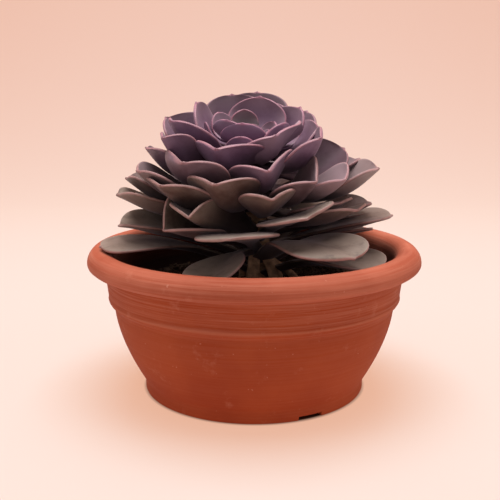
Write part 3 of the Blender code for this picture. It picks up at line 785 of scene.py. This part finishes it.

# %% [markdown]
# ## Leaf skin
#
# The rosette's colour comes from its age. Young leaves are mauve, old ones grey-green, and the lower
# faces are browner; on old leaves the lower faces are also painted darker, as painted shade, and on
# young ones paler, as painted light. A dusting of pale wax hides part of the colour, most on old
# leaves, and it is rubbed off in blotches. Along the margins of the upper face the skin is painted
# paler: wax bloom and a painted highlight. The wax also gives the skin a soft lilac sheen where it is
# seen edge-on. The thin edge is bare and rosy, and old leaves are stained. Some leaves are painted
# darker as painted shade, and some paler as painted light. Deep between the leaves hardly any light
# arrives, and the skin darkens towards the leaf's foot to help with that: painted shade.

# %% Mix the leaf skin
def leaf_skin():
    """Colour by age and face, wax over it with a painted highlight at the margin, then stains, each
    leaf's own darkness with painted shade and light on some, the edge, and painted shade at the foot.

    age runs from 0 in the heart to 1, under is 0 on the upper face and 1 below, to_edge is the
    distance to the margin in mm, and along runs from 0 at the foot to 1 at the tip.
    """
    skin = Finish("leaf_skin", 0.52)
    age = skin.attribute("age")
    under = skin.attribute("under")
    to_edge = skin.attribute("to_edge")
    tone_light_and_shade = skin.attribute("tone_light_and_shade")
    along = skin.attribute("along")
    blotch = skin.noise(90.0, 5.0, rough=0.6)
    speck = skin.noise(700.0, 3.0)

    # Young and old, above and below, and the greener bud leaves in the heart. The lower faces of old
    # leaves are painted darker, as painted shade, and those of young leaves paler, as painted light.
    top = skin.blend(skin.fade(age, 0.28, 0.70), srgb(112, 82, 104), srgb(112, 94, 82))
    below = skin.blend(skin.fade(age, 0.32, 0.55), srgb(118, 88, 116), srgb(84, 58, 48))
    base = skin.blend(under, top, below)
    base = skin.blend(skin.fade(age, 0.028, 0.045, 0.6, 0.0), base, srgb(104, 104, 96))

    # Wax in blotches and specks, and a bloom along the margin: wax, with a painted highlight on the
    # upper face
    pale = skin.blend(skin.fade(age, 0.25, 0.6), srgb(144, 118, 140), srgb(142, 126, 116))
    wax_by_age = skin.fade(age, 0.1, 0.9, 0.4, 0.9)
    wax = skin.math("MULTIPLY", skin.fade(blotch, 0.38, 0.62, 0.0, 0.45), wax_by_age)
    base = skin.blend(wax, base, pale)
    base = skin.blend(skin.fade(speck, 0.55, 0.75, 0.0, 0.15), base, pale)
    on_blade = skin.fade(along, 0.35, 0.6)
    # The bloom is strongest on the upper face beside the margin, where it is a painted highlight as well
    # as wax.
    margin_bloom_and_highlight = skin.math("MULTIPLY", skin.fade(to_edge, 0.5, 9.0, 0.40, 0.0),
                      skin.fade(under, 0.2, 0.8, 1.0, 0.25))
    bloom_and_highlight_colour = skin.blend(skin.fade(age, 0.35, 0.7), srgb(176, 148, 156), srgb(148, 132, 120))
    base = skin.blend(skin.math("MULTIPLY", margin_bloom_and_highlight, on_blade), base, bloom_and_highlight_colour)

    # Stains on old leaves, then painted shade on leaves above zero and painted light on those below
    stains = skin.math("MULTIPLY", skin.fade(blotch, 0.50, 0.36, 0.0, 0.6), age)
    base = skin.blend(stains, base, srgb(66, 50, 44))
    # Darkening by the leaf's value, most on the upper face: painted shade.
    dark = skin.math("MULTIPLY", tone_light_and_shade, skin.fade(under, 0.2, 0.8, 0.22, 0.08))
    base = skin.blend(dark, base, srgb(56, 28, 33))
    # Leaves below zero turn towards the pale bloom colour: painted light.
    base = skin.blend(skin.math("MULTIPLY", tone_light_and_shade, -0.22), base, bloom_and_highlight_colour)

    # The rosy edge
    line = skin.math("MULTIPLY", skin.fade(to_edge, 0.25, 0.9, 0.6, 0.0),
                     skin.fade(blotch, 0.3, 0.6, 0.45, 1.0))
    rosy = skin.blend(skin.fade(age, 0.1, 0.5), srgb(166, 94, 114), srgb(172, 118, 116))
    base = skin.blend(skin.math("MULTIPLY", line, on_blade), base, rosy)

    # Shade towards the foot, most on the lower face and not in the heart
    shade = skin.math("MULTIPLY", skin.fade(along, 0.55, 1.0, 0.9, 0.0),
                      skin.fade(under, 0.2, 0.8, 0.3, 1.0))
    shade = skin.math("MULTIPLY", shade, skin.fade(age, 0.15, 0.4))
    base = skin.blend(shade, base, srgb(44, 28, 28))
    skin.feed(skin.shader.inputs["Base Color"], base)

    relief = skin.math("ADD", skin.math("MULTIPLY", blotch, 0.6), skin.math("MULTIPLY", speck, 0.25))
    skin.bump(relief, 0.25, 0.4 * MM)
    skin.shader.inputs["Specular IOR Level"].default_value = 0.35
    skin.shader.inputs["Sheen Weight"].default_value = 0.15
    skin.shader.inputs["Sheen Roughness"].default_value = 0.4
    skin.shader.inputs["Sheen Tint"].default_value = srgb(224, 200, 216)
    return skin.material


leaf_finish = leaf_skin()
print("leaf skin:", len(leaf_finish.node_tree.nodes), "nodes")

# %% [markdown]
# ## The rosette
#
# The leaves are made in three groups, so that each mesh stays light. They stand for the rosette of
# the solid model, whose leaves follow the same rule with fewer faces.

# %% Grow the leaves
def leaf_group(name, numbers):
    """Join the grids of several leaves into one mesh."""
    grown = [number for number in numbers if number not in FALLEN_LEAVES]
    grids = [leaf_grid(leaf_shape(number)) for number in grown]
    points = np.concatenate([grid.reshape(-1, 3) for grid, _ in grids])
    rows, columns = grids[0][0].shape[:2]
    quads = grid_faces(rows, columns, True)
    faces = quads[None] + rows * columns * np.arange(len(grids))[:, None, None]
    known = {key: np.concatenate([values[key].ravel() for _, values in grids])
             for key in grids[0][1]}
    group = add_piece(name, points * MM, faces.reshape(-1, 4), leaf_finish, attributes=known)
    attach(group, "root")
    print(name, len(group.data.polygons), "faces")
    return group


leaf_group("heart_leaves", range(0, 16))
crown = leaf_group("crown_leaves", range(16, 44))
leaf_group("skirt_leaves", range(44, LEAF_COUNT))
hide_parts("rosette")

# %% [markdown]
# ## The stem
#
# Between the lowest leaves a few brown stalks show. The stem is a ringed tube: each ring is the scar
# of a leaf that fell. It ends below the heart, so that no bark shows between the youngest leaves.
# Side stalks stand round its foot. Each comes straight out of the soil and then bends in to join the
# stem, so one rule draws them all.

# %% Mix the bark
def stem_bark():
    """Two browns mixed by a fine noise, which also makes the bark rough."""
    bark = Finish("stem_bark", 0.85)
    rough = bark.noise(260.0, 5.0)
    base = bark.blend(bark.fade(rough, 0.3, 0.7), srgb(112, 80, 58), srgb(184, 140, 108))
    bark.feed(bark.shader.inputs["Base Color"], base)
    bark.bump(rough, 0.6, 0.6 * MM)
    return bark.material


bark_finish = stem_bark()
print("bark:", len(bark_finish.node_tree.nodes), "nodes")

# %% Draw the stem and the stalks
# Each stalk's foot x, foot y, foot radius, and the height where it joins the stem
STALKS = ((-1.0, -12.0, 4.6, 98.0), (13.0, -9.5, 5.2, 96.0), (25.0, -3.0, 3.6, 88.0),
          (-6.0, 15.0, 4.4, 94.0))
STALK_FOOT = 57.0
STALK_TAPER = 0.35
STALK_INSET = 0.3            # the bark lies this much inside the solid stalk, before its scars
STALK_SCAR = 0.25
STEM_FROM = SOIL_TOP - 12.0
STEM_TO = STEM_APEX[2] - 10.0
STEM_RADIUS = 6.6
STEM_TAPER = 3.6             # mm that its radius loses on the way up
STEM_SCAR = 0.35
FLUTE = 0.06                 # depth of the five grooves along each tube, as a share of its radius


def tube(middles, radius, columns=28):
    """Rings round a row of middle points, each with its own radius, and closed at both ends.

    Each ring is a circle whose radius swells and shrinks by a sine, five times round.
    """
    radius[0] = 0.0
    radius[-1] = 0.0
    turn = np.linspace(0.0, 2 * np.pi, columns, endpoint=False)
    ring = np.stack([np.sin(turn), -np.cos(turn), 0.0 * turn], axis=-1)
    flutes = 1.0 + FLUTE * np.sin(5.0 * turn)[None, :] * np.ones((len(middles), 1))
    return (middles[:, None, :] + (radius[:, None] * flutes)[..., None] * ring[None]) * MM


def stem_surface(rows=90):
    """The radius shrinks upwards by a smooth step, plus scars: the size of a sine of the height."""
    heights = np.linspace(STEM_FROM, STEM_TO, rows)
    middles = np.array([stem_at(height)[0] for height in heights])
    scars = STEM_SCAR * np.abs(np.sin(heights / 1.9))
    return tube(middles, STEM_RADIUS - STEM_TAPER * smooth_step((heights - 90.0) / 70.0) + scars)


def stalk_surface(x, y, radius, join, rows=90):
    """Straight up for a quarter of the way, then in to the stem by a smooth step."""
    along = np.linspace(0.0, 1.0, rows)
    inward = smooth_step((along - 0.25) / 0.75)[:, None]
    foot = np.array([x, y, STALK_FOOT])
    joint, _ = stem_at(join)
    middles = foot + (joint - foot) * np.concatenate([inward, inward, along[:, None]], axis=1)
    scars = STALK_SCAR * np.abs(np.sin(along * 9.0 + x))
    return tube(middles, radius * (1.0 - STALK_TAPER * along) - STALK_INSET + scars)


tubes = [stem_surface()] + [stalk_surface(*stalk) for stalk in STALKS]
tube_faces = grid_faces(*tubes[0].shape[:2], True)
stem_points = np.concatenate([grid.reshape(-1, 3) for grid in tubes])
tube_points = len(stem_points) // len(tubes)
stem_faces = np.concatenate([tube_faces + number * tube_points for number in range(len(tubes))])
stem = add_piece("stem", stem_points, stem_faces, bark_finish)
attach(stem, "root")
print("stem and", len(STALKS), "stalks:", len(stem.data.polygons), "faces")

# %% [markdown]
# ## Floor and light
#
# The plant stands on seamless peach paper that sweeps up behind it. The light is soft and mostly
# from above, so the faces that look up are bright, and the insides of the rosette fall into shadow.
# The paper glows, as painted light, dimmer towards the back, and under the pot's foot it is painted
# dark as a painted shadow.

# %% The paper sweep
PAPER_NEAR = -1.6            # metres, as all sizes in this cell
PAPER_BEND_FROM = 0.7
PAPER_BEND_RADIUS = 0.6
PAPER_TOP = 2.6
PAPER_HALF_WIDTH = 2.2
GLOW_DIMS_OVER = (0.7, 1.25)   # over this stretch the paper's glow, painted light, gets dimmer and deeper towards the back
POT_SHADOW_RADII = (65.5 * MM, 69 * MM)     # the paper is painted dark within these radii, a painted shadow under the pot's foot


def paper_sweep():
    """A floor that bends up into a wall: a straight line, a quarter circle and a line, side to side."""
    floor = np.array([(PAPER_NEAR, 0.0), (PAPER_BEND_FROM, 0.0)])
    centre = (PAPER_BEND_FROM, PAPER_BEND_RADIUS)
    bend = arc(centre, PAPER_BEND_RADIUS, PAPER_BEND_RADIUS, -90, 0, 24)[1:]
    wall_top = [(PAPER_BEND_FROM + PAPER_BEND_RADIUS, PAPER_TOP)]
    profile = np.concatenate([floor, bend, wall_top])
    sides = np.linspace(-PAPER_HALF_WIDTH, PAPER_HALF_WIDTH, 3)
    x, y = np.meshgrid(sides, profile[:, 0])
    _, z = np.meshgrid(sides, profile[:, 1])
    return np.stack([x, y, z], axis=-1)


def paper():
    """Paper that glows as painted light, so that the plant's shadow stays light, but not under the pot,
    where it is painted dark as a painted shadow.
    """
    sheet = Finish("peach_paper", 0.95)
    place = sheet.add("ShaderNodeTexCoord").outputs["Object"]
    parts = sheet.add("ShaderNodeSeparateXYZ", Vector=place).outputs
    away = sheet.fade(parts["Y"], *GLOW_DIMS_OVER)
    # The glow is painted light; it dims and deepens towards the back.
    glow = sheet.blend(away, (0.75, 0.40, 0.26, 1.0), (0.68, 0.28, 0.14, 1.0))
    sheet.feed(sheet.shader.inputs["Emission Color"], glow)
    sideways = sheet.add("ShaderNodeCombineXYZ", X=parts["X"], Y=parts["Y"]).outputs["Vector"]
    radius = sheet.add("ShaderNodeVectorMath", {"operation": "LENGTH"}, Vector=sideways).outputs["Value"]
    # Under the pot's foot the paper neither glows nor is pale: it is painted nearly black as a painted
    # shadow.
    outside_pot_shadow = sheet.fade(radius, *POT_SHADOW_RADII)
    sheet.feed(sheet.shader.inputs["Emission Strength"], outside_pot_shadow)
    base = sheet.blend(outside_pot_shadow, (0.08, 0.03, 0.02, 1.0), (0.17, 0.26, 0.30, 1.0))
    sheet.feed(sheet.shader.inputs["Base Color"], base)
    sheet.shader.inputs["Specular IOR Level"].default_value = 0.0
    return sheet.material


sweep_points = paper_sweep()
sweep = add_piece("paper_sweep", sweep_points, grid_faces(*sweep_points.shape[:2], False), paper())
print("paper:", len(sweep.data.polygons), "faces")

# %% The lights
def soft_light(name, place, aim, size, watts, colour):
    """A square area light that faces a point: its -Z axis is turned along the line to it."""
    data = bpy.data.lights.new(name, "AREA")
    data.shape = "SQUARE"
    data.size = size
    data.energy = watts
    data.color = colour
    light = bpy.data.objects.new(name, data)
    light.location = place
    light.rotation_euler = (Vector(aim) - Vector(place)).to_track_quat("-Z", "Y").to_euler()
    bpy.context.scene.collection.objects.link(light)


ROSETTE_MIDDLE = (0.0, 0.0, 0.1)
SKY_STRENGTH = 0.34
soft_light("top_light", (0.0, 0.1, 1.3), ROSETTE_MIDDLE, 1.0, 24.0, (1.0, 0.99, 0.98))
soft_light("left_light", (-1.3, -0.3, 0.7), ROSETTE_MIDDLE, 0.9, 3.0, (1.0, 0.99, 0.99))
soft_light("right_light", (1.3, -0.3, 0.7), ROSETTE_MIDDLE, 0.9, 3.0, (1.0, 0.99, 0.99))
soft_light("front_light", (0.2, -1.4, 0.6), (0.0, 0.0, 0.12), 0.9, 1.8, (0.96, 0.97, 1.0))

world = bpy.data.worlds.new("studio")
world.use_nodes = True
sky = world.node_tree.nodes["Background"]
sky.inputs["Color"].default_value = (1.0, 0.93, 0.90, 1.0)
sky.inputs["Strength"].default_value = SKY_STRENGTH
bpy.context.scene.world = world
bpy.context.scene.view_settings.view_transform = "Standard"
print("four soft lights, and a sky of strength", SKY_STRENGTH)
